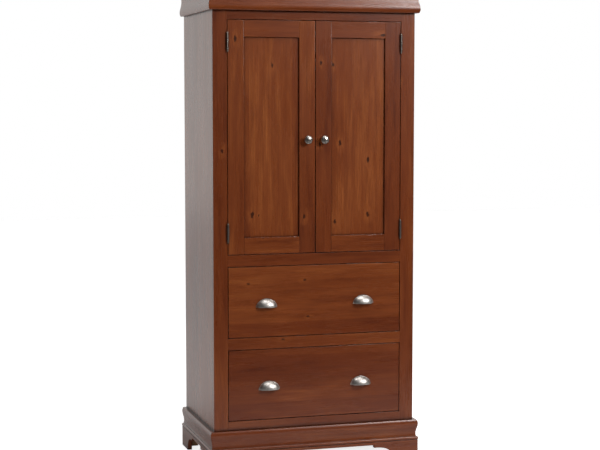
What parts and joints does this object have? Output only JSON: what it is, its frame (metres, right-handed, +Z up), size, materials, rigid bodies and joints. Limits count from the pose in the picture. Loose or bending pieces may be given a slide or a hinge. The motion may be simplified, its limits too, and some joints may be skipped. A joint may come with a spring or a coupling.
{
  "type": "armoire",
  "caption": "Freestanding timber armoire with inset panelled doors over inset drawers, crown and base mouldings, bracket feet, round knobs and cup pulls.",
  "frame": {"origin": "on the floor, in the middle of the object's box", "axes": "+Z up, +X to the right seen from the front, doors and drawers face -Y"},
  "size_m": [0.958, 0.59, 2.088],
  "materials": {
    "stained_alder": "satin",
    "drawer_wood": "satin",
    "inner_wood": "matte",
    "pewter": "satin",
    "zinc_steel": "satin",
    "catch_plastic": "matte"
  },
  "bodies": {
    "case": {"side_left": "stained_alder", "side_right": "stained_alder", "back_panel": "stained_alder", "hanging_rail": "inner_wood", "case_top": "stained_alder", "wardrobe_floor": "stained_alder", "case_bottom": "stained_alder", "slide_spacers": "inner_wood", "face_stile_left": "stained_alder", "face_stile_right": "stained_alder", "face_rail_top": "stained_alder", "face_rail_middle": "stained_alder", "face_rail_drawer": "stained_alder", "face_rail_bottom": "stained_alder", "crown_front": "stained_alder", "crown_sides": "stained_alder", "base_moulding_front": "stained_alder", "base_moulding_sides": "stained_alder", "plinth_front": "stained_alder", "plinth_sides": "stained_alder", "plinth_back": "inner_wood", "corner_blocks": "inner_wood", "shelf": "stained_alder", "shelf_pins": "zinc_steel", "clothes_rod": "zinc_steel", "rod_sockets": "zinc_steel", "frame_hinge_leaves": "pewter", "hinge_pins": "pewter", "door_catch": "catch_plastic", "slide_outer": "zinc_steel"},
    "left_door": {"left_door_hinge_stile": "stained_alder", "left_door_meeting_stile": "stained_alder", "left_door_top_rail": "stained_alder", "left_door_bottom_rail": "stained_alder", "left_door_panel": "stained_alder", "left_door_knob": "pewter", "left_door_hinge_leaves": "pewter", "left_door_strike": "zinc_steel"},
    "right_door": {"right_door_hinge_stile": "stained_alder", "right_door_meeting_stile": "stained_alder", "right_door_top_rail": "stained_alder", "right_door_bottom_rail": "stained_alder", "right_door_panel": "stained_alder", "right_door_knob": "pewter", "right_door_hinge_leaves": "pewter", "right_door_strike": "zinc_steel"},
    "lower_drawer": {"lower_drawer_front": "stained_alder", "lower_drawer_sides": "drawer_wood", "lower_drawer_back": "drawer_wood", "lower_drawer_bottom": "drawer_wood", "lower_drawer_pulls": "pewter", "lower_slide_inner": "zinc_steel"},
    "lower_slide_middle": {"lower_slide_mid": "zinc_steel"},
    "upper_drawer": {"upper_drawer_front": "stained_alder", "upper_drawer_sides": "drawer_wood", "upper_drawer_back": "drawer_wood", "upper_drawer_bottom": "drawer_wood", "upper_drawer_pulls": "pewter", "upper_slide_inner": "zinc_steel"},
    "upper_slide_middle": {"upper_slide_mid": "zinc_steel"}
  },
  "joints": [
    {"name": "left_door_hinge", "type": "hinge", "parent": "case", "child": "left_door", "pos_m": [-0.39275, -0.2695, 1.446], "axis": [0, 0, -1], "range_deg": [0, 170]},
    {"name": "right_door_hinge", "type": "hinge", "parent": "case", "child": "right_door", "pos_m": [0.39275, -0.2695, 1.446], "axis": [0, 0, 1], "range_deg": [0, 170]},
    {"name": "upper_drawer_slide", "type": "slide", "parent": "case", "child": "upper_drawer", "axis": [0, -1, 0], "range_m": [0, 0.43]},
    {"name": "upper_slide_middle", "type": "slide", "parent": "case", "child": "upper_slide_middle", "axis": [0, -1, 0], "range_m": [0, 0.215]},
    {"name": "lower_drawer_slide", "type": "slide", "parent": "case", "child": "lower_drawer", "axis": [0, -1, 0], "range_m": [0, 0.43]},
    {"name": "lower_slide_middle", "type": "slide", "parent": "case", "child": "lower_slide_middle", "axis": [0, -1, 0], "range_m": [0, 0.215]}
  ],
  "couplings": [
    {"joint": "upper_slide_middle", "follows": "upper_drawer_slide", "ratio": 0.5},
    {"joint": "lower_slide_middle", "follows": "lower_drawer_slide", "ratio": 0.5}
  ]
}
